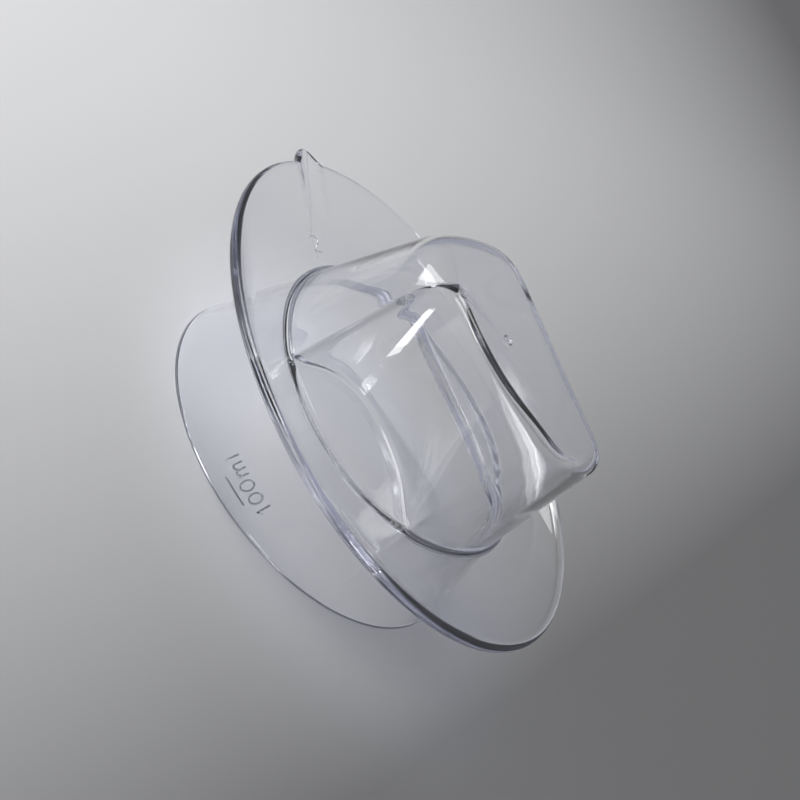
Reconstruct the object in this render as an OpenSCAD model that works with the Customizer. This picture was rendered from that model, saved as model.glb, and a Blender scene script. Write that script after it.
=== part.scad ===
// Clear filler cap that is also a small measuring cup: an oval brim, a round-footed grip above it
// and a plain skirt below it. It stands on the rim of its skirt.
// Units are millimetres, +Z is up, the origin is the middle of the rim's plane.
// It is one moulding. The nodes are its regions, and they meet face to face.

/* [Brim] */
// Length of the oval brim, without its nub
brim_length = 103; // [80:0.5:130]
// Width of the oval brim
brim_width = 86.4; // [70:0.5:110]
// Thickness of the brim and of the floors beside the grip
brim_t = 2.1; // [1.2:0.1:3]
// How far the brim's edge stands above its flat middle
brim_rise = 2.4; // [0:0.1:6]
// Radius of the brim's flat middle, where the dish starts
flat_r = 38; // [36:0.5:40]
// How far the oval's centre stands behind the grip's, along X
brim_back = 1.75; // [0:0.05:4]
// Turn of the oval's long axis from X, in degrees
brim_turn = -9.6; // [-20:0.1:20]

/* [Nub] */
// How far the pointing nub stands out of the brim's edge
nub_out = 3.1; // [1:0.1:6]
// Half the nub's width at its foot
nub_half = 4.2; // [2.4:0.3:6]

/* [Skirt] */
// Height of the brim's top face above the rim
skirt_h = 22.1; // [15:0.1:40]
// Mean outer radius at the rim; the skirt's root follows the grip's foot
rim_r = 35; // [31:0.1:40]
// How far the rim is from round, as a part of its radius
skirt_oval = 0.047; // [0:0.001:0.08]
// Turn of the rim's short axis from X, in degrees
skirt_turn = -38.9; // [-90:0.1:90]
// Thickness of the skirt's wall at the rim
rim_t = 1.3; // [0.8:0.1:2.5]

/* [Grip] */
// Height of the grip's top above the brim
grip_h = 24.6; // [15:0.1:40]
// Wall thickness of the grip
wall = 1.5; // [1:0.1:2.5]
// Radius of the rounded edge round the grip's top
edge_r = 2; // [1.6:0.1:4]

/* [Marks] */
// How far the marks stand out of the walls
mark_h = 0.3; // [0.1:0.05:0.6]
// Height of the figures and letters of the graduation
mark_size = 2.7; // [1.5:0.1:5]
// Height of the graduation line above the rim
mark_z = 3.3; // [1:0.1:10]
// Direction of the middle of the graduation, in degrees from +X
mark_dir = -74; // [-180:1:180]

/* [Hidden] */
zb = skirt_h;               // the brim's top face
zu = skirt_h - brim_t;      // its underside
zt = skirt_h + grip_h;      // the grip's top
steps = 3;                  // columns to each control point
// plan of the grip where it meets the brim, and just below its rounded top edge
foot = [[-11.5, -27.7], [-8.4, -29.2], [-7, -27.2], [-6.8, -21.5], [-5, -15.6], [-0.8, -11.8],
        [5, -10.3], [11, -10.4], [17.5, -12.2], [22.8, -15.2], [25.6, -16.2], [27.2, -13],
        [29.2, -7], [30, 0], [29.4, 7], [27.2, 13], [24.2, 18], [20.5, 19.8], [12, 20], [2, 20.2],
        [-8, 20.2], [-17, 19.8], [-22, 19.6], [-25.2, 16.4], [-28.4, 9.6], [-30, 1.8],
        [-29.4, -6], [-26.6, -13.8], [-22.2, -20.2], [-16.8, -24.9]];
head = [[-13.6, -14.2], [-11.2, -14], [-10.3, -12.2], [-9.8, -10.6], [-7.2, -9.6], [-2.6, -9.4],
        [3.2, -8.9], [8.8, -7.8], [13.6, -6], [17.8, -3.8], [20.6, -2.6], [22.8, -1.2],
        [25, 2.2], [26.2, 6.5], [26.2, 10.8], [25, 14.6], [22.6, 17.2], [19, 17.6], [11.5, 17.5],
        [2, 17.8], [-8, 18.2], [-16.5, 18.6], [-20.4, 18.4], [-23, 15.4], [-24.6, 9.6],
        [-24.8, 3.4], [-23.6, -2.6], [-21.4, -7.6], [-18.6, -11.2], [-16.2, -13.4]];
n = steps * len(foot);
front0 = steps; front1 = 10 * steps;    // columns of the front hollow
rear0 = 16 * steps; rear1 = 22 * steps; // columns of the flat rear

function at(p, i) = p[(i + 10 * len(p)) % len(p)];
function spline(p, i, t) = (at(p, i - 1) * pow(1 - t, 3) + at(p, i) * (3 * t * t * t - 6 * t * t + 4)
    + at(p, i + 1) * (-3 * t * t * t + 3 * t * t + 3 * t + 1) + at(p, i + 2) * t * t * t) / 6;
function curve(p) = [for (i = [0:len(p) - 1]) for (k = [0:steps - 1]) spline(p, i, k / steps)];
function unit(v) = v / norm(v);
function mix(a, b, t) = a * (1 - t) + b * t;
function out_of(c) = [for (i = [0:n - 1]) let (d = at(c, i + 2) - at(c, i - 2)) unit([d[1], -d[0]])];
function up(p, z) = [p[0], p[1], z];
function bearing(p) = atan2(p[1], p[0]);

foot_c = curve(foot);
head_c = curve(head);
foot_n = out_of(foot_c);
head_n = out_of(head_c);

// one column of a wall of the grip: the inside going up, then the outside coming down
wall_z = [zu, zb, zb + 0.3 * (grip_h - edge_r), zb + 0.65 * (grip_h - edge_r), zt - edge_r];
wall_u = [0, 0, 0.3, 0.65, 1];
function wall_out(i, j) = mix(at(foot_c, i), at(head_c, i), wall_u[j]);
function wall_in(i, j) = wall_out(i, j) - wall * unit(mix(at(foot_n, i), at(head_n, i), wall_u[j]));
function wall_col(i) = concat([for (j = [0:4]) up(wall_in(i, j), wall_z[j])],
                              [for (j = [4:-1:0]) up(wall_out(i, j), wall_z[j])]);
// one column of the rounded edge
function edge_pt(i, a, r) = up(at(head_c, i) - (edge_r - r * cos(a)) * at(head_n, i), zt - edge_r + r * sin(a));
function edge_col(i) = concat([for (a = [0:30:90]) edge_pt(i, a, edge_r - wall)],
                              [for (a = [90:-30:0]) edge_pt(i, a, edge_r)]);
// the plan that the brim and the two floors share: the foot, bridged by arcs where the grip is hollowed
function arc_pt(i, a, b) = let (p = at(foot_c, a), q = at(foot_c, b), t = (i - a) / (b - a))
    mix(norm(p), norm(q), t) * [cos(mix(bearing(p), bearing(q), t)), sin(mix(bearing(p), bearing(q), t))];
function plan(i) = i > front0 && i < front1 ? arc_pt(i, front0, front1)
                 : i > rear0 && i < rear1 ? arc_pt(i, rear0, rear1) : at(foot_c, i);
function oval(a) = [-brim_back + brim_length / 2 * cos(a) * cos(brim_turn) - brim_width / 2 * sin(a) * sin(brim_turn),
                    brim_length / 2 * cos(a) * sin(brim_turn) + brim_width / 2 * sin(a) * cos(brim_turn)];
// one column of the brim: its top going out, its rounded edge, its underside coming back
// plan of the rim in one direction, for a mean radius r
function rim_pt(a, r) = let (x = r * (1 - skirt_oval) * cos(a - skirt_turn), y = r * (1 + skirt_oval) * sin(a - skirt_turn))
    [x * cos(skirt_turn) - y * sin(skirt_turn), x * sin(skirt_turn) + y * cos(skirt_turn)];
// the part of the brim's underside that can lie on a lid starts outside the rim
function seat_pt(p, m) = let (s = rim_pt(bearing(m), rim_r + 0.3))
    unit(s) * max(norm(p) + 0.3, min(norm(s), flat_r - 0.3));
// one column of the skirt: its root lies under the foot, its rim on the ground plane
function skirt_col(i) = let (p = plan(i), a = bearing(p), b = unit(p))
    [up(p, zu), up(rim_pt(a, rim_r), 0), up(rim_pt(a, rim_r - rim_t), 0), up(p - wall * b, zu)];
function brim_col(i) = let (p = plan(i), e = oval(bearing(p) - brim_turn), d = unit(e),
        m = flat_r * unit(p / norm(p) + d), f = e - d * 0.6, h = mix(m, e, 0.5), z = zb + brim_rise)
    [up(p, zb), up(m, zb), up(h, zb + 0.36 * brim_rise), up(f, z), up(e, z - 0.6), up(e, z + 0.6 - brim_t),
     up(f, z - brim_t), up(h, zu + 0.36 * brim_rise), up(m, zu), up(seat_pt(p, m), zu), up(p, zu)];
function floor_col(i, a, b) = [up(at(foot_c, i), zb), up(arc_pt(i, a, b), zb),
                               up(arc_pt(i, a, b), zu), up(at(foot_c, i), zu)];

// a solid from a row of closed sections: a ring of them, or an open row with an end at each side
module ring(c) {
    m = len(c); k = len(c[0]);
    polyhedron(points = [for (s = c) for (p = s) p], faces = [for (i = [0:m - 1]) for (j = [0:k - 1]) let (
        a = i * k + j, b = i * k + (j + 1) % k, d = ((i + 1) % m) * k + j, e = ((i + 1) % m) * k + (j + 1) % k)
        each [[a, e, b], [a, d, e]]]);
}
module row(c) {
    m = len(c); k = len(c[0]); l = (m - 1) * k;
    polyhedron(points = [for (s = c) for (p = s) p], faces = concat(
        [for (i = [0:m - 2]) for (j = [0:k - 1]) let (
            a = i * k + j, b = i * k + (j + 1) % k, d = (i + 1) * k + j, e = (i + 1) * k + (j + 1) % k)
            each [[a, e, b], [a, d, e]]],
        [for (j = [0:(k - 3) / 2]) each [[j, k - 2 - j, k - 1 - j], [l + j, l + k - 1 - j, l + k - 2 - j]]],
        [for (j = [0:k / 2 - 2]) each [[j, j + 1, k - 2 - j], [l + j, l + k - 2 - j, l + j + 1]]]));
}

// a stroke of a mark: a path on a surface, with a width, standing mark_h out of it
// way 0 lays it on the skirt (along, up from the rim), way 1 on the flat of the brim
mark_w = 0.42;
function arc_r(a) = let (p = foot_c[front0], q = foot_c[front1]) mix(norm(p), norm(q), (a - bearing(p)) / (bearing(q) - bearing(p)));
function on_skirt(s, z, h) = let (a = mark_dir + s / rim_r * 57.29578, r = arc_r(a) * [cos(a), sin(a)], e = rim_pt(a, rim_r))
    up(mix(e, r, z / zu) + h * unit(e), z);
function on_brim(x, y, h) = [-34.2 - y * 0.98, -6.4 + x, zb + h];
function place(way, q, h) = way == 0 ? on_skirt(q[0], q[1], h) : on_brim(q[0], q[1], h);
function side(p, i, shut) = let (a = shut || i > 0 ? at(p, i - 1) : p[0],
        b = shut || i < len(p) - 1 ? at(p, i + 1) : p[len(p) - 1], d = unit(b - a)) [d[1], -d[0]];
function stroke(p, way, shut) = [for (i = [0:len(p) - 1]) let (v = side(p, i, shut) * mark_w / 2)
    [place(way, p[i] - v, 0), place(way, p[i] - v, mark_h), place(way, p[i] + v, mark_h), place(way, p[i] + v, 0)]];
// the figures read with the rim up, so the skirt's strokes run the other way round and down
function glyph(p, x) = [for (q = p) [-(x + q[0]), mark_z + 1.1 + mark_size * (1 - q[1])]];
function loop(x) = [for (a = [0:20:340]) [-(x + 0.95 * cos(a)), mark_z + 1.1 + mark_size / 2 * (1 - sin(a) * 0.92)]];

module skirt() color([0.86, 0.88, 0.94]) ring([for (i = [0:n - 1]) skirt_col(i)]);
module brim() color([0.82, 0.84, 0.93]) ring([for (i = [0:n - 1]) brim_col(i)]);
module nub() color([0.78, 0.8, 0.92]) difference() {
    x = oval(180 - brim_turn)[0];
    translate([0, 0, zb + brim_rise - brim_t + 0.1]) linear_extrude(height = brim_t - 0.2)
        polygon(concat([[x + 0.5, nub_half], [x + 0.5, -nub_half]], [for (y = [-nub_half:0.3:nub_half + 0.01])
            [x + 0.25 - (nub_out + 0.25) * pow(0.5 + 0.5 * cos(180 * y / nub_half), 0.9), y]]));
    row([for (i = [23 * steps:28 * steps]) brim_col(i)]);
}
module floor_front() color([0.88, 0.9, 0.95]) row([for (i = [front0:front1]) floor_col(i, front0, front1)]);
module floor_rear() color([0.88, 0.9, 0.95]) row([for (i = [rear0:rear1]) floor_col(i, rear0, rear1)]);
module grip_front() color([0.84, 0.87, 0.94]) row([for (i = [front0:front1]) wall_col(i)]);
module grip_right() color([0.8, 0.83, 0.92]) row([for (i = [front1:rear0]) wall_col(i)]);
module grip_rear() color([0.84, 0.87, 0.94]) row([for (i = [rear0:rear1]) wall_col(i)]);
module grip_left() color([0.8, 0.83, 0.92]) row([for (i = [rear1:n + front0]) wall_col(i)]);
module grip_edge() color([0.74, 0.77, 0.9]) ring([for (i = [0:n - 1]) edge_col(i)]);
module grip_top() color([0.87, 0.89, 0.95]) {
    c = [0, 0.8]; f = [1, 0.62, 0.2];
    q = [for (i = [0:n - 1]) at(head_c, i) - edge_r * at(head_n, i)];
    top = [for (k = [0:2]) for (p = q) up(mix(c, p, f[k]), zt)];
    low = [for (k = [0:2]) for (p = q) up(mix(c, p, f[k]), zt - wall)];
    polyhedron(points = concat(top, low, [up(c, zt), up(c, zt - wall)]), faces = [for (i = [0:n - 1]) let (
        j = (i + 1) % n) each concat(
            [for (k = [0:1]) each [[k * n + i, (k + 1) * n + i, (k + 1) * n + j], [k * n + i, (k + 1) * n + j, k * n + j]]],
            [for (k = [3:4]) each [[k * n + i, (k + 1) * n + j, (k + 1) * n + i], [k * n + i, k * n + j, (k + 1) * n + j]]],
            [[2 * n + i, 6 * n, 2 * n + j], [5 * n + i, 5 * n + j, 6 * n + 1], [i, j, 3 * n + j], [i, 3 * n + j, 3 * n + i]])]);
}
module gate_mark() color([0.7, 0.73, 0.85]) translate([0, 0.6, zt]) difference() {
    cylinder(h = mark_h, r = 1.1, $fn = 32);
    translate([0, 0, mark_h]) sphere(r = 0.25, $fn = 20);
}
module line_mark() color([0.62, 0.65, 0.78]) row(stroke([for (x = [-2.9:0.725:2.9]) [x, mark_z]], 0, false));
module figure_mark() color([0.62, 0.65, 0.78]) {
    row(stroke(glyph([[-0.7, 0.72], [0, 1], [0, 0]], -5.2), 0, false));
    ring(stroke(loop(-2.9), 0, true));
    ring(stroke(loop(-0.2), 0, true));
}
module unit_mark() color([0.62, 0.65, 0.78]) {
    row(stroke(glyph([[0, 0], [0, 0.68]], 1.7), 0, false));
    row(stroke(glyph([[0.24, 0.6], [0.7, 0.68], [1.15, 0.6], [1.25, 0.45], [1.25, 0]], 1.7), 0, false));
    row(stroke(glyph([[1.49, 0.6], [1.95, 0.68], [2.4, 0.6], [2.5, 0.45], [2.5, 0]], 1.7), 0, false));
    row(stroke(glyph([[0, 0], [0, 1]], 5.6), 0, false));
}
module cavity_mark() color([0.62, 0.65, 0.78])
    row(stroke([[-1.2, 1.4], [-0.7, 2], [0.6, 2.1], [1.2, 1.5], [1.1, 0.7], [-1.1, -1.5], [1.3, -1.5]], 1, false));

skirt();
brim();
nub();
floor_front();
floor_rear();
grip_front();
grip_right();
grip_rear();
grip_left();
grip_edge();
grip_top();
gate_mark();
line_mark();
figure_mark();
unit_mark();
cavity_mark();
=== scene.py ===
# %% [markdown]
# # A clear filler cap that is also a measuring cup
# The real object is one moulding of clear plastic: a plain skirt, an oval dished brim with a small
# pointing nub, and above it a grip that is hollowed at the front and flat at the back. Clear plastic
# shows every seam, so the whole moulding is made here as one closed skin, and only its small raised
# marks are pieces of their own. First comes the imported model, which gives the sizes.

# %% Frame
import bpy
import numpy as np
from mathutils import Matrix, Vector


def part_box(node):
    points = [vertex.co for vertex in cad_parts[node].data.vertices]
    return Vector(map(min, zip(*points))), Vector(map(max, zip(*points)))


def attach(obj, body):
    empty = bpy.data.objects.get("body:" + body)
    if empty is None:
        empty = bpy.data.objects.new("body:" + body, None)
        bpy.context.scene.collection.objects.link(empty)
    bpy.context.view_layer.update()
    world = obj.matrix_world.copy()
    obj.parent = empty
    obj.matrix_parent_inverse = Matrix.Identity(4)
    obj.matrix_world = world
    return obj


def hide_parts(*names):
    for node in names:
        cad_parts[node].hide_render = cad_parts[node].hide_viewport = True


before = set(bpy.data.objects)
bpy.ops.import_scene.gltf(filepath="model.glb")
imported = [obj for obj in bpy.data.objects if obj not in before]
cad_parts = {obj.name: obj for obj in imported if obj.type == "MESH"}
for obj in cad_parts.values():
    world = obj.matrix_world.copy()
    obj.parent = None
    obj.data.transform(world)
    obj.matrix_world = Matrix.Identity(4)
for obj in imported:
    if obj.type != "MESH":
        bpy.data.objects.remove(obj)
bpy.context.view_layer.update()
MM = 0.001  # the script thinks in millimetres, and Blender in metres


def span(node):
    """Lowest and highest corner of a solid of the frame, in mm."""
    lo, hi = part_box(node)
    return np.array(lo) / MM, np.array(hi) / MM


z_under, z_brim = span("floor_front")[0][2], span("floor_front")[1][2]  # the brim's flat middle
z_edge = span("brim")[1][2]      # the highest line of the dished brim
z_head = span("grip_edge")[0][2]  # where the grip's rounded top edge starts
z_top = span("grip_top")[1][2]
wall = z_top - span("grip_top")[0][2]
print(f"brim at {z_under:.1f} to {z_brim:.1f} mm, its edge at {z_edge:.1f}")
print(f"top at {z_top:.1f} mm, wall {wall:.1f}")

# %% [markdown]
# ## Camera
# The photograph looks at the cup's hollowed front from above, with the camera rolled far over: in the
# picture the cup lies on its side. The cup stays upright here and the camera carries the whole turn,
# as three plain angles and a distance. A lens of 81 mm on a 36 mm sensor gives the same perspective.

# %% Camera
def standing(x, y, z, place):
    """Matrix of something that stands at a place in mm, with its own three axes in these directions."""
    return Matrix([[*row, p] for row, p in zip(np.array([x, y, z]).T, np.array(place) * MM)] + [[0, 0, 0, 1]])


aim = np.array([-1.37, -0.52, z_brim + 0.1])
away, turn, lift, roll = 330.3, np.radians(20.61), np.radians(27.90), np.radians(56.70)
back = np.array([np.cos(lift) * np.sin(turn), -np.cos(lift) * np.cos(turn), np.sin(lift)])
level = np.array([np.cos(turn), np.sin(turn), 0.0])
upright = np.cross(back, level)
right = np.cos(roll) * level + np.sin(roll) * upright
up = np.cross(back, right)
cam = bpy.data.objects.new("camera", bpy.data.cameras.new("camera"))
cam.data.lens, cam.data.sensor_width = 81.0, 36.0
cam.data.clip_start, cam.data.clip_end = 0.01, 10
cam.matrix_world = standing(right, up, back, aim + back * away)
bpy.context.scene.collection.objects.link(cam)
bpy.context.scene.camera = cam
print("camera at", np.round(aim + back * away, 1), "mm")

# %% [markdown]
# ## Plans of the grip
# The grip starts round at the brim and ends smaller at its top, and both outlines are free curves: a
# hollow scooped from the front, a flat back. A closed B-spline through a few placed points describes
# each one. Blending the two outlines with height gives the drafted, slightly twisted walls.

# %% Outlines
foot_points = np.array([
    [-11.5, -27.7], [-8.4, -29.2], [-7, -27.2], [-6.8, -21.5], [-5, -15.6], [-0.8, -11.8], [5, -10.3],
    [11, -10.4], [17.5, -12.2], [22.8, -15.2], [25.6, -16.2], [27.2, -13], [29.2, -7], [30, 0], [29.4, 7],
    [27.2, 13], [24.2, 18], [20.5, 19.8], [12, 20], [2, 20.2], [-8, 20.2], [-17, 19.8], [-22, 19.6],
    [-25.2, 16.4], [-28.4, 9.6], [-30, 1.8], [-29.4, -6], [-26.6, -13.8], [-22.2, -20.2], [-16.8, -24.9]])
head_points = np.array([
    [-13.6, -14.2], [-11.2, -14], [-10.3, -12.2], [-9.8, -10.6], [-7.2, -9.6], [-2.6, -9.4], [3.2, -8.9],
    [8.8, -7.8], [13.6, -6], [17.8, -3.8], [20.6, -2.6], [22.8, -1.2], [25, 2.2], [26.2, 6.5], [26.2, 10.8],
    [25, 14.6], [22.6, 17.2], [19, 17.6], [11.5, 17.5], [2, 17.8], [-8, 18.2], [-16.5, 18.6], [-20.4, 18.4],
    [-23, 15.4], [-24.6, 9.6], [-24.8, 3.4], [-23.6, -2.6], [-21.4, -7.6], [-18.6, -11.2], [-16.2, -13.4]])
# where the flat top begins: far in on the plain left side, close to the edge along the hollows
crown_points = np.array([
    [-10.9, -7.6], [-9.4, -8.1], [-8.2, -8.3], [-7.2, -8.4], [-5.8, -8.4], [-2.5, -8.2], [3.2, -7.7],
    [8.6, -6.6], [13.2, -4.9], [17.3, -2.7], [20.2, -1.4], [21.8, -0.1], [22.8, 3], [23.7, 6.8], [23.7, 10.4],
    [22.9, 13.2], [21.4, 15.4], [18.6, 16.2], [11.4, 16.3], [2, 16.6], [-8, 17], [-15.6, 17], [-18, 15.6],
    [-19.4, 13.2], [-19.4, 8.6], [-18.8, 3.2], [-18.4, -0.8], [-17.4, -4.2], [-15.2, -5.9], [-12.9, -6.9]])
PER_POINT = 16  # columns of the skin to each placed point
columns = PER_POINT * len(foot_points)


def closed_spline(points):
    """Uniform cubic B-spline: each stretch mixes four neighbouring points with the four cubic weights."""
    t = np.arange(PER_POINT)[None, :, None] / PER_POINT
    p0, p1, p2, p3 = (np.roll(points, s, axis=0)[:, None, :] for s in (1, 0, -1, -2))
    mix = (p0 * (1 - t) ** 3 + p1 * (3 * t**3 - 6 * t**2 + 4)
           + p2 * (-3 * t**3 + 3 * t**2 + 3 * t + 1) + p3 * t**3)
    return (mix / 6).reshape(-1, points.shape[1])


def unit(v):
    return v / np.linalg.norm(v, axis=-1, keepdims=True)


def outward(curve):
    """Outward normals of a closed plan that runs anticlockwise: the local direction, turned right."""
    d = np.roll(curve, -1, axis=0) - np.roll(curve, 1, axis=0)
    return unit(np.stack([d[:, 1], -d[:, 0]], axis=1))


foot, head, crown = closed_spline(foot_points), closed_spline(head_points), closed_spline(crown_points)
foot_out, head_out = outward(foot), outward(head)
print(f"{columns} columns; the grip's foot is {np.ptp(foot[:, 0]):.1f} by {np.ptp(foot[:, 1]):.1f} mm")

# %% [markdown]
# ## Plans of the brim and the skirt
# The brim is an oval a little behind the grip and turned against it, and the skirt is nearly round. A
# column of the skin runs straight out from the grip to the brim's edge, so each column needs its
# direction. Where the grip is hollowed the direction is spread evenly across the hollow's mouth.

# %% Oval brim with its nub, and oval skirt
brim_length, brim_width, brim_back, brim_turn = 103.0, 86.4, 1.75, np.radians(-9.6)
flat_r = 38.0            # the brim is flat inside this radius, and dished outside it
nub_out, nub_half = 3.1, 4.2
rim_r, rim_t = 35.0, 1.3
skirt_oval, skirt_turn = 0.047, np.radians(-38.9)
front, rear = (1 * PER_POINT, 10 * PER_POINT), (16 * PER_POINT, 22 * PER_POINT)

bearing = np.unwrap(np.arctan2(foot[:, 1], foot[:, 0]))
for a, b in (front, rear):
    bearing[a:b + 1] = np.linspace(bearing[a], bearing[b], b + 1 - a)


def ellipse(angle, half_long, half_wide, turned):
    """Points of an ellipse by its own angle, turned in the plan."""
    x, y = half_long * np.cos(angle), half_wide * np.sin(angle)
    cos, sin = np.cos(turned), np.sin(turned)
    return np.stack([x * cos - y * sin, x * sin + y * cos], axis=-1)


within = 0.9995          # a hair inside the solid's facets
oval = within * ellipse(bearing - brim_turn, brim_length / 2, brim_width / 2, brim_turn) - [brim_back, 0]
flat = flat_r * unit(np.stack([np.cos(bearing), np.sin(bearing)], axis=1) + unit(oval))
oval_out = outward(oval)
near_nub = (oval[:, 0] < 0) & (np.abs(oval[:, 1]) < nub_half)
oval[:, 0] -= np.where(near_nub, nub_out * (0.5 + 0.5 * np.cos(np.pi * oval[:, 1] / nub_half)) ** 0.9, 0)


def rim_plan(angle, radius):
    """The rim's outline at a mean radius: an ellipse, shorter along its turned axis."""
    return ellipse(angle - skirt_turn, radius * (1 - skirt_oval), radius * (1 + skirt_oval), skirt_turn)


# the skirt's root runs under the grip's foot, and bridges the two hollows with arcs
reach = np.linalg.norm(foot, axis=1)
for a, b in (front, rear):
    reach[a:b + 1] = np.linspace(reach[a], reach[b], b + 1 - a)
spoke = np.stack([np.cos(bearing), np.sin(bearing)], axis=1)
root = reach[:, None] * spoke
print(f"brim {np.ptp(oval[:, 0]):.1f} by {np.ptp(oval[:, 1]):.1f} mm with its nub")

# %% [markdown]
# ## The moulding's skin
# One column of the skin is walked from the top's middle, over the shoulder, down the grip, round
# a small fillet, out along the brim, over its rounded edge, back under it, down the skirt and up again
# inside to the top's underside. All columns are worked out at once, ring by ring. The fillets matter
# most: in clear plastic they are what shows, as the dark and bright double lines of the photograph.

# %% Rings of the skin
rings, marks_on = [], {}


def ring(plan, z):
    """Adds one closed ring: a plan point for each column, all at one height or at one height each."""
    z = np.broadcast_to(np.asarray(z, float), (columns,))
    rings.append(np.column_stack([np.broadcast_to(plan, (columns, 2)), z]))


def last():
    return rings[-1].copy()


def bend(corner, end, count):
    """Rounds a corner from the last ring: quadratic curve, (1-t)^2 start + 2t(1-t) corner + t^2 end."""
    start = last()
    for t in np.linspace(0, 1, count + 1)[1:]:
        p = (1 - t) ** 2 * start + 2 * t * (1 - t) * corner + t * t * end
        ring(p[:, :2], p[:, 2])


def run(end, stops):
    """Straight rings from the last one towards an end ring, at the given shares of the way."""
    start = last()
    for t in stops:
        p = start + (end - start) * t
        ring(p[:, :2], p[:, 2])


def at(plan, z):
    """A ring at one height, or at a height for each column."""
    return np.column_stack([plan, np.broadcast_to(np.ravel(z), (columns,))])


def grip_wall(share, inset):
    """A ring of the grip's wall: the two outlines blended by height, set in along the normal."""
    n = unit(foot_out * (1 - share) + head_out * share)
    z = z_brim + share * (z_head - z_brim)      # one height, or one for each column
    return at(foot * (1 - share) + head * share - inset * n, z)


def wall_share(z):
    """Share of the way up the grip's wall at which a height lies."""
    return (z - z_brim) / (z_head - z_brim)


def dish(w):
    """Height of the brim over its flat middle: it lifts as the power 1.5 of the way out."""
    return (z_edge - z_brim) * w ** 1.5


# The wall, carried on to the top's height, is the corner that the shoulder rounds off: as far down the
# wall as the flat top starts inwards, so that the rounding meets both without a crease. The placed
# outline of the flat top is moved in where it comes closer to the wall than the least rounding.
least_round = 1.2
peak = grip_wall(wall_share(z_top), 0)
placed_depth = np.sum((peak[:, :2] - crown) * head_out, axis=1, keepdims=True)
depth = np.maximum(placed_depth, least_round)
crown = crown - head_out * (depth - placed_depth)
leg = np.linalg.norm(crown - peak[:, :2], axis=1, keepdims=True)
top_middle = np.array([0.0, 0.8])
sink = 0.12              # the top is a trace lower in its middle, as thick mouldings are
for f in (0.04, 0.12, 0.25, 0.4, 0.55, 0.7, 0.83, 0.93, 0.985, 1.0):
    ring(top_middle + (crown - top_middle) * f, z_top - sink * (1 - f * f) ** 2)
bend(peak, grip_wall(wall_share(z_top - leg), 0), 14)
print(f"the top edge is rounded over {leg.min():.1f} to {leg.max():.1f} mm")

fillet = 1.1
foot_share = fillet / (z_head - z_brim)
run(grip_wall(foot_share, 0), (0.02, 0.08, 0.17, 0.27, 0.37, 0.47, 0.57, 0.67, 0.77, 0.86, 0.93, 0.98, 1))
bend(grip_wall(0, 0), at(foot + fillet * foot_out, z_brim), 8)

edge_half = (z_brim - z_under) / 2
lip = oval - edge_half * oval_out        # middle line of the brim's rounded edge
run(at(flat, z_brim), (0.03, 0.1, 0.3, 0.55, 0.8, 0.95, 1))
marks_on["brim"] = len(rings) - 1
for w in np.linspace(0, 1, 13)[1:]:
    ring(flat + (lip - flat) * w, z_brim + dish(w))
marks_on["lip"] = len(rings) - 1
for a in np.radians(np.linspace(90, -90, 17)[1:]):
    ring(lip + edge_half * np.cos(a) * oval_out, z_edge - edge_half + edge_half * np.sin(a))
for w in np.linspace(1, 0, 13)[1:]:
    ring(flat + (lip - flat) * w, z_under + dish(w))
print(len(rings), "rings down to the brim's underside")

# %% [markdown]
# ## Skirt and inside
# Under the brim the skin turns down into the skirt, over its thin rim and up the inside. The inside of
# the grip follows the outside at one wall's thickness, so light passes through two nearly parallel
# faces and bends only at corners. The two ends of the skin, on and under the top, close on a point.

# %% Rings of the skirt and the inside
root_fillet = 0.8
rim = rim_plan(bearing, rim_r)
rim_in = rim_plan(bearing, rim_r - rim_t)
root_in = root - wall * spoke


def skirt_wall(outer, share, higher=0.0):
    """A ring of the skirt's wall, at a share of the way from the rim up to its root."""
    low, high = (rim, root) if outer else (rim_in, root_in)
    return at(low + (high - low) * share, z_under * share + higher)


run(at(root + root_fillet * spoke, z_under), (0.1, 0.4, 0.75, 0.92, 0.98, 1))
bend(at(root, z_under), skirt_wall(True, 1 - root_fillet / z_under), 6)
soft = 0.35                                   # rounding of the rim
run(skirt_wall(True, soft / z_under), (0.02, 0.08, 0.2, 0.35, 0.5, 0.65, 0.8, 0.92, 0.98, 1))
bend(at(rim, 0), at(rim - soft * spoke, 0), 4)
run(at(rim_in + soft * spoke, 0), (0.5, 1))
bend(at(rim_in, 0), skirt_wall(False, soft / z_under), 4)

# Inside, the skirt and the grip are one wall, except at the hollows: there the skin steps in under
# the brim's floor. How far it steps sets how much of each of the two corners is rounded.
inner_foot = foot - wall * foot_out
step = np.linalg.norm(root_in - inner_foot, axis=1, keepdims=True)
inward = (inner_foot - root_in) / np.maximum(step, 1e-6)
part = np.clip(step / 3, 0, 1)                # 0 on the plain wall, 1 in a hollow
round_r = np.minimum(1.2, step / 2)
climb = 1.2
run(skirt_wall(False, 1 - climb / z_under), (0.02, 0.08, 0.2, 0.35, 0.5, 0.65, 0.8, 0.92, 0.98, 1))
spread = 0.3 * climb * (1 - part)             # on the plain wall these rings share out the height instead
corner = np.hstack([root_in, z_under - spread * 1.4])
entry = np.hstack([root_in + inward * round_r, z_under - spread])
bend(corner, entry, 5)
leave = np.hstack([inner_foot - inward * round_r, z_under + spread])
run(leave, (0.2, 0.5, 0.8, 1))
grip_start = grip_wall(0.0, wall) + [0, 0, climb - (z_brim - z_under)]
bend(np.hstack([inner_foot, z_under + spread * 1.4]), grip_start, 8)
least_inside = 0.4       # the inside corner's least rounding
inner_peak = grip_wall(wall_share(z_top - wall), wall)
inner_crown = crown - head_out * np.maximum(0, wall + least_inside - depth)
inner_leg = np.linalg.norm(inner_crown - inner_peak[:, :2], axis=1, keepdims=True)
run(grip_wall(wall_share(z_top - wall - inner_leg), wall),
    (0.02, 0.07, 0.16, 0.26, 0.36, 0.46, 0.56, 0.66, 0.76, 0.85, 0.93, 0.98, 1))
bend(inner_peak, at(inner_crown, z_top - wall), 10)
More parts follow.
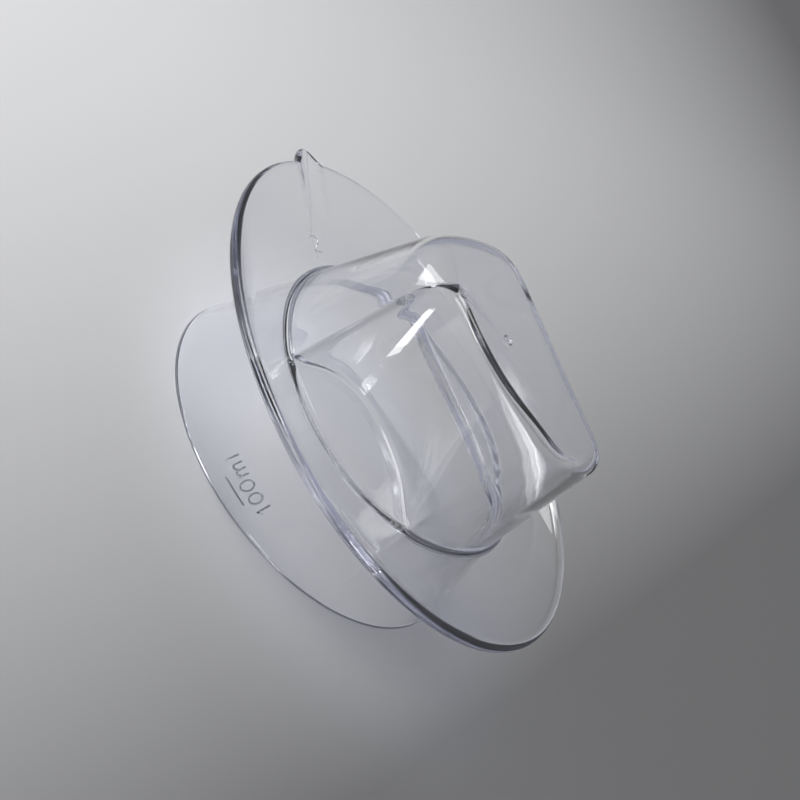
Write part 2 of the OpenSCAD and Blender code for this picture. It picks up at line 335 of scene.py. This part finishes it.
for f in (0.985, 0.93, 0.83, 0.7, 0.55, 0.4, 0.25, 0.12, 0.04):
    ring(top_middle + (inner_crown - top_middle) * f, z_top - wall - sink * (1 - f * f) ** 2)
print(len(rings), "rings in all")


# %% Mesh helper
def closed_piece(name, grid):
    """A mesh from a grid of points: its rows are closed rings, and each end closes on one point."""
    rows, cols, _ = grid.shape
    points = grid.reshape(-1, 3)
    i, j = np.meshgrid(np.arange(rows - 1), np.arange(cols), indexing="ij")
    a, b = i * cols + j, i * cols + (j + 1) % cols
    quads = np.stack([a, a + cols, b + cols, b], axis=-1).reshape(-1, 4)
    k = np.arange(cols)
    points = np.vstack([points, grid[0].mean(0), grid[-1].mean(0)])
    first = np.stack([np.full(cols, rows * cols), k, (k + 1) % cols], axis=1)
    end = (rows - 1) * cols
    final = np.stack([np.full(cols, rows * cols + 1), end + (k + 1) % cols, end + k], axis=1)
    mesh = bpy.data.meshes.new(name)
    mesh.from_pydata(points * MM, [], quads.tolist() + first.tolist() + final.tolist())
    mesh.polygons.foreach_set("use_smooth", np.ones(len(mesh.polygons), bool))
    mesh.update()
    piece = bpy.data.objects.new(name, mesh)
    bpy.context.scene.collection.objects.link(piece)
    return piece


skin = closed_piece("clear_moulding", np.array(rings))
print(len(skin.data.polygons), "faces in the skin")

# %% [markdown]
# ## Raised marks
# The cup carries a volume line with its figure near the rim, a small figure on the brim, a gate mark on
# the top and a hair-thin knit line where the plastic met as it filled the mould. Each is a stroke: a
# low rounded section carried along a path that lies on the surface. A gap of a few microns under each
# keeps the two clear surfaces apart, which a ray tracer needs.

# %% Strokes
lift_off = 0.015
stroke_w, stroke_h = 0.34, 0.22
SECTION = np.array([[1, 0], [0.86, 0.55], [0.5, 0.9], [0, 1], [-0.5, 0.9], [-0.86, 0.55], [-1, 0]])


def stroke(path, place, closed=False, width=stroke_w, height=stroke_h):
    """Sweeps the rounded section along a path: offset across the path, and height off the surface."""
    path = np.asarray(path, float)
    if closed:
        d = np.roll(path, -1, axis=0) - np.roll(path, 1, axis=0)
    else:
        d = np.gradient(path, axis=0)
    d = unit(d)
    across = np.stack([d[:, 1], -d[:, 0]], axis=1)
    flat_points = path[:, None, :] + across[:, None, :] * SECTION[None, :, :1] * width / 2
    high = np.broadcast_to(SECTION[:, 1] * height + lift_off, flat_points.shape[:2])
    return place(flat_points[..., 0], flat_points[..., 1], high), closed


def on_skirt(s, z, high):
    """A point on the outside of the skirt: distance s round it from the mark's middle, and height."""
    angle = np.radians(-74) + s / rim_r
    low = rim_plan(angle, rim_r)
    high_r = np.interp(angle, bearing[front[0]:front[1] + 1], reach[front[0]:front[1] + 1])[..., None]
    share = (z / z_under)[..., None]
    root_point = high_r * np.stack([np.cos(angle), np.sin(angle)], axis=-1)
    p = low * (1 - share) + root_point * share + high[..., None] * unit(low)
    return np.stack([p[..., 0], p[..., 1], z], axis=-1)


def on_brim(x, y, high):
    return np.stack([-34.2 - y * 0.98, -6.4 + x, z_brim + high], axis=-1)


mark_z, figure_h = 3.3, 2.7


def letter(points, x):
    """Letters read with the rim up, so their strokes run the other way round and down."""
    p = np.asarray(points, float)
    return np.column_stack([-(x + p[:, 0]), mark_z + 1.1 + figure_h * (1 - p[:, 1])])


def arch(x):
    """One arch of the letter m: up its stem and over a half circle into its leg."""
    a = np.linspace(np.pi, 0, 9)
    top = np.column_stack([x + 0.5 + 0.5 * np.cos(a), 0.5 + 0.18 * np.sin(a)])
    return np.vstack([top, [[x + 1, 0.25], [x + 1, 0]]])


round_angle = np.linspace(0, 2 * np.pi, 28, endpoint=False)


def zero(x):
    """The figure 0 at a distance x along the skirt: an upright oval, closed."""
    z = mark_z + 1.1 + figure_h / 2 * (1 - 0.92 * np.sin(round_angle))
    return np.column_stack([-(x + 0.95 * np.cos(round_angle)), z])


volume_marks = [
    stroke(np.column_stack([np.linspace(-2.9, 2.9, 13), np.full(13, mark_z)]), on_skirt),
    stroke(letter([[-0.7, 0.72], [-0.3, 0.88], [0, 1], [0, 0.5], [0, 0]], -5.2), on_skirt),
    stroke(zero(-2.9), on_skirt, closed=True),
    stroke(zero(-0.2), on_skirt, closed=True),
    stroke(letter([[0, 0], [0, 0.35], [0, 0.68]], 1.7), on_skirt),
    stroke(letter(arch(0.25), 1.7), on_skirt),
    stroke(letter(arch(1.5), 1.7), on_skirt),
    stroke(letter([[0, 0], [0, 0.5], [0, 1]], 5.6), on_skirt),
]
two = [[-1.2, 1.4], [-0.95, 1.8], [-0.5, 2.05], [0.2, 2.1], [0.8, 1.95], [1.2, 1.5], [1.15, 0.9],
       [0.9, 0.5], [-1.1, -1.5], [0.1, -1.5], [1.3, -1.5]]
brim_marks = [stroke(two, on_brim, width=0.28, height=0.15)]
print(len(volume_marks) + len(brim_marks), "strokes of letters and figures")


# %% Mesh of strokes
def stroke_piece(name, strokes):
    """Joins swept strokes into one mesh: side faces along each path, a flat underside and two ends."""
    points, faces, base = [], [], 0
    for grid, closed in strokes:
        n, k, _ = grid.shape
        rows = np.arange(n if closed else n - 1)
        i, j = np.meshgrid(rows, np.arange(k), indexing="ij")
        a, b = base + i * k + j, base + i * k + (j + 1) % k
        c, d = base + ((i + 1) % n) * k + (j + 1) % k, base + ((i + 1) % n) * k + j
        faces += np.stack([a, b, c, d], axis=-1).reshape(-1, 4).tolist()
        if not closed:
            faces += [list(range(base, base + k))[::-1], list(range(base + (n - 1) * k, base + n * k))]
        points.append(grid.reshape(-1, 3))
        base += n * k
    mesh = bpy.data.meshes.new(name)
    mesh.from_pydata(np.vstack(points) * MM, [], faces)
    mesh.polygons.foreach_set("use_smooth", np.ones(len(mesh.polygons), bool))
    mesh.update()
    piece = bpy.data.objects.new(name, mesh)
    bpy.context.scene.collection.objects.link(piece)
    return piece


volume = stroke_piece("volume_marks", volume_marks)
figure = stroke_piece("brim_figure", brim_marks)

# %% [markdown]
# ## Knit line
# Two fronts of plastic met on the brim between the nub and the grip. The line they left is finer than a
# hair, slightly bowed and a little ragged. It follows the brim's own rings, so its height is right
# everywhere, and its raggedness is a seeded jitter of a few hundredths of a millimetre.

# %% Knit line along the brim
brim_rings = np.array(rings[marks_on["brim"] - 7:marks_on["lip"] + 1])
knit_half, knit_high = 0.05, 0.035        # half its width, and its height
shares = np.linspace(0.12, 0.985, 60)
jitter = np.random.default_rng(7).normal(0, 0.05, 60)
nub_column = int(np.argmin(oval[:, 0]))
foot_column = int(np.argmin(np.hypot(foot[:, 0] + 28.6, foot[:, 1] + 9)))
column = foot_column + (nub_column - foot_column) * shares ** 0.8
place_in = shares * (len(brim_rings) - 1)
r0, c0 = np.floor(place_in).astype(int), np.floor(column).astype(int)
fr, fc = (place_in - r0)[:, None], (column - c0)[:, None]
knit_path = ((brim_rings[r0, c0] * (1 - fc) + brim_rings[r0, c0 + 1] * fc) * (1 - fr)
             + (brim_rings[r0 + 1, c0] * (1 - fc) + brim_rings[r0 + 1, c0 + 1] * fc) * fr)
knit_path[:, 1] += jitter
along = unit(np.gradient(knit_path[:, :2], axis=0))
knit_side = np.column_stack([along[:, 1], -along[:, 0], np.zeros(60)])
knit_grid = (knit_path[:, None, :] + knit_side[:, None, :] * SECTION[None, :, :1] * knit_half
             + np.array([0, 0, 1.0]) * (SECTION[None, :, 1:] * knit_high + lift_off))
knit = stroke_piece("knit_line", [(knit_grid, False)])
print(f"knit line from {np.round(knit_path[0], 1)} to {np.round(knit_path[-1], 1)} mm")

# %% Gate mark on the top
gate_r, gate_h = 1.1, span("gate_mark")[1][2] - z_top
gate_profile = np.array([[1.0, 0.0], [0.98, 0.55], [0.86, 0.9], [0.6, 1.0], [0.42, 0.95], [0.3, 0.6],
                         [0.16, 0.35], [0.05, 0.3]])
gate_angle = np.linspace(0, 2 * np.pi, 48, endpoint=False)
gate_base = z_top - sink + lift_off
gate_rings = np.array([
    np.column_stack([gate_r * r * np.cos(gate_angle), 0.6 + gate_r * r * np.sin(gate_angle),
                     np.full(48, gate_base + gate_h * h)])
    for r, h in np.vstack([[0.05, 0.0], gate_profile])])
gate = closed_piece("gate_mark_disc", gate_rings[::-1])
print("gate mark", gate_h, "mm high")

# %% [markdown]
# ## Clear plastic
# A polished clear plastic is a Principled shader with full transmission and a refractive index of 1.56,
# in the range of clear rigid plastics. Its walls look colourless and its edges blue-violet, because an edge
# shows a long path
# through the plastic: absorption in the volume does just that. Faint ripples from the mould and a fine
# haze of handling keep the surface from looking like cut glass. The knit line gets a darker, duller
# version whose dark tint is painted shade: it stands in for the dark that a ridge as fine as a hair shows
# in clear plastic, where it would otherwise only glint white.

# %% Plastic material
def plastic(name, roughness=0.06, tint=(0.975, 0.977, 0.982), clearness=1.0):
    """Clear plastic: it refracts, is tinted by the length of the path inside, and casts a pale shadow."""
    mat = bpy.data.materials.new(name)
    mat.use_nodes = True
    nt = mat.node_tree
    nt.nodes.clear()
    out = nt.nodes.new("ShaderNodeOutputMaterial")
    p = nt.nodes.new("ShaderNodeBsdfPrincipled")
    p.inputs["Base Color"].default_value = (*tint, 1)
    p.inputs["Transmission Weight"].default_value = clearness
    p.inputs["IOR"].default_value = 1.56
    coords = nt.nodes.new("ShaderNodeTexCoord")
    haze = nt.nodes.new("ShaderNodeTexNoise")
    haze.inputs["Scale"].default_value = 120
    haze.inputs["Detail"].default_value = 5
    spread = nt.nodes.new("ShaderNodeMapRange")
    spread.inputs["From Min"].default_value, spread.inputs["From Max"].default_value = 0.45, 0.75
    spread.inputs["To Min"].default_value = roughness * 0.4
    spread.inputs["To Max"].default_value = roughness * 1.8
    ripple = nt.nodes.new("ShaderNodeTexNoise")
    ripple.inputs["Scale"].default_value = 55
    ripple.inputs["Detail"].default_value = 1
    bump = nt.nodes.new("ShaderNodeBump")
    bump.inputs["Strength"].default_value = 0.03
    bump.inputs["Distance"].default_value = 0.0004
    clear = nt.nodes.new("ShaderNodeBsdfTransparent")
    clear.inputs["Color"].default_value = (0.86, 0.87, 0.9, 1)
    path = nt.nodes.new("ShaderNodeLightPath")
    mix = nt.nodes.new("ShaderNodeMixShader")
    inside = nt.nodes.new("ShaderNodeVolumeAbsorption")
    inside.inputs["Color"].default_value = (0.40, 0.43, 0.72, 1)
    inside.inputs["Density"].default_value = 10
    link = nt.links.new
    link(coords.outputs["Object"], haze.inputs["Vector"])
    link(coords.outputs["Object"], ripple.inputs["Vector"])
    link(haze.outputs["Fac"], spread.inputs["Value"])
    link(spread.outputs["Result"], p.inputs["Roughness"])
    link(ripple.outputs["Fac"], bump.inputs["Height"])
    link(bump.outputs["Normal"], p.inputs["Normal"])
    link(path.outputs["Is Shadow Ray"], mix.inputs["Fac"])
    link(p.outputs["BSDF"], mix.inputs[1])
    link(clear.outputs["BSDF"], mix.inputs[2])
    link(mix.outputs["Shader"], out.inputs["Surface"])
    link(inside.outputs["Volume"], out.inputs["Volume"])
    return mat


clear_plastic = plastic("clear_plastic")
# painted shade: the knit line's dark tint stands in for the dark its fine ridge shows in clear plastic
dark_line = plastic("knit_line_painted_shade", roughness=0.4, tint=(0.2, 0.21, 0.26), clearness=0.3)
for piece in (skin, volume, figure, knit, gate):
    piece.data.materials.append(dark_line if piece is knit else clear_plastic)
    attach(piece, "root")
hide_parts("skirt", "brim", "nub", "floor_front", "floor_rear", "grip_front", "grip_right", "grip_rear",
            "grip_left", "grip_edge", "grip_top")
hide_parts("line_mark", "figure_mark", "unit_mark")
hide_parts("cavity_mark")
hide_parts("gate_mark")

# %% [markdown]
# ## Floor
# The photograph's background is one plain pale surface on which the light falls off from the upper left
# to a soft grey at the lower right. The floor lies under the rim and fills the whole picture, and that fall
# of light is painted shade in its colour: a smooth step along X, and a slight linear fall along Y, in the
# floor's own metres.
# Beyond the picture it turns pale again, since only rays bent in the plastic's edges reach that far.

# %% Floor
floor_mesh = bpy.data.meshes.new("floor")
floor_mesh.from_pydata([(-3, -3, 0), (3, -3, 0), (3, 3, 0), (-3, 3, 0)], [], [(0, 1, 2, 3)])
floor = bpy.data.objects.new("floor", floor_mesh)
bpy.context.scene.collection.objects.link(floor)
pale = bpy.data.materials.new("floor_painted_shade")
pale.use_nodes = True
nt = pale.node_tree
surface = nt.nodes["Principled BSDF"]
surface.inputs["Roughness"].default_value = 0.9
surface.inputs["Specular IOR Level"].default_value = 0.0
coords = nt.nodes.new("ShaderNodeTexCoord")
split = nt.nodes.new("ShaderNodeSeparateXYZ")
# painted shade: the floor's colour falls from light to grey along X and Y, as less light reaches it
along_x = nt.nodes.new("ShaderNodeMapRange")
along_x.interpolation_type = "SMOOTHSTEP"
for key, value in (("From Min", -0.133), ("From Max", 0.346), ("To Min", 0.734), ("To Max", -0.877)):
    along_x.inputs[key].default_value = value
along_y = nt.nodes.new("ShaderNodeMath")
along_y.operation = "MULTIPLY_ADD"
along_y.inputs[1].default_value = -1.09
# the darkest level of the painted shade
level_grey = nt.nodes.new("ShaderNodeMath")
level_grey.operation = "MAXIMUM"
level_grey.inputs[1].default_value = 0.17
distance = nt.nodes.new("ShaderNodeVectorMath")
distance.operation = "LENGTH"
beyond = nt.nodes.new("ShaderNodeMapRange")
beyond.interpolation_type = "SMOOTHSTEP"
beyond.inputs["From Min"].default_value, beyond.inputs["From Max"].default_value = 1.0, 1.6
whole = nt.nodes.new("ShaderNodeMix")       # a plain number: factor, near, far
whole.inputs[3].default_value = 0.62
link = nt.links.new
link(coords.outputs["Object"], split.inputs["Vector"])
link(coords.outputs["Object"], distance.inputs[0])
link(distance.outputs["Value"], beyond.inputs["Value"])
link(beyond.outputs["Result"], whole.inputs[0])
link(split.outputs["X"], along_x.inputs["Value"])
link(split.outputs["Y"], along_y.inputs[0])
link(along_x.outputs["Result"], along_y.inputs[2])
link(along_y.outputs["Value"], level_grey.inputs[0])
link(level_grey.outputs["Value"], whole.inputs[2])
link(whole.outputs[0], surface.inputs["Base Color"])
floor_mesh.materials.append(pale)

# %% [markdown]
# ## Light
# A clear object is lit by what it reflects and refracts. One large soft panel over the upper left of
# the picture gives the pale sheen on the walls, a smaller one gives the white highlights in the hollow,
# and the darker rest of the room, in the world's shader, draws the dark outlines.

# %% World and panels
world = bpy.data.worlds.new("room")
bpy.context.scene.world = world
world.use_nodes = True
nt = world.node_tree
nt.nodes.clear()
coords = nt.nodes.new("ShaderNodeTexCoord")
split = nt.nodes.new("ShaderNodeSeparateXYZ")
ramp = nt.nodes.new("ShaderNodeValToRGB")
ramp.color_ramp.elements[0].position, ramp.color_ramp.elements[0].color = 0.0, (0.56, 0.58, 0.72, 1)
ramp.color_ramp.elements[1].position, ramp.color_ramp.elements[1].color = 0.8, (0.75, 0.755, 0.77, 1)
room = nt.nodes.new("ShaderNodeBackground")
room.inputs["Strength"].default_value = 0.55
out = nt.nodes.new("ShaderNodeOutputWorld")
link = nt.links.new
link(coords.outputs["Generated"], split.inputs["Vector"])
link(split.outputs["Z"], ramp.inputs["Fac"])
link(ramp.outputs["Color"], room.inputs["Color"])
link(room.outputs["Background"], out.inputs["Surface"])


def panel(name, place, size, power, towards=(0, 0, z_brim)):
    """A square soft light at a place in mm, turned to face a point."""
    lamp = bpy.data.lights.new(name, "AREA")
    lamp.shape, lamp.size, lamp.energy = "SQUARE", size * MM, power
    obj = bpy.data.objects.new(name, lamp)
    z = unit(np.array(place, float) - np.array(towards, float))
    x = unit(np.cross([0.0, 0.0, 1.0] if abs(z[2]) < 0.99 else [0.0, 1.0, 0.0], z))
    obj.matrix_world = standing(x, np.cross(z, x), z, place)
    bpy.context.scene.collection.objects.link(obj)
    return obj


panel("window_panel", (-700, -200, 1300), 900, 14.0)
panel("front_panel", (545, -510, 128), 220, 1.3)
bpy.context.scene.view_settings.view_transform = "Standard"
bpy.context.scene.cycles.max_bounces = 32
bpy.context.scene.cycles.transmission_bounces = 28
bpy.context.scene.cycles.glossy_bounces = 12
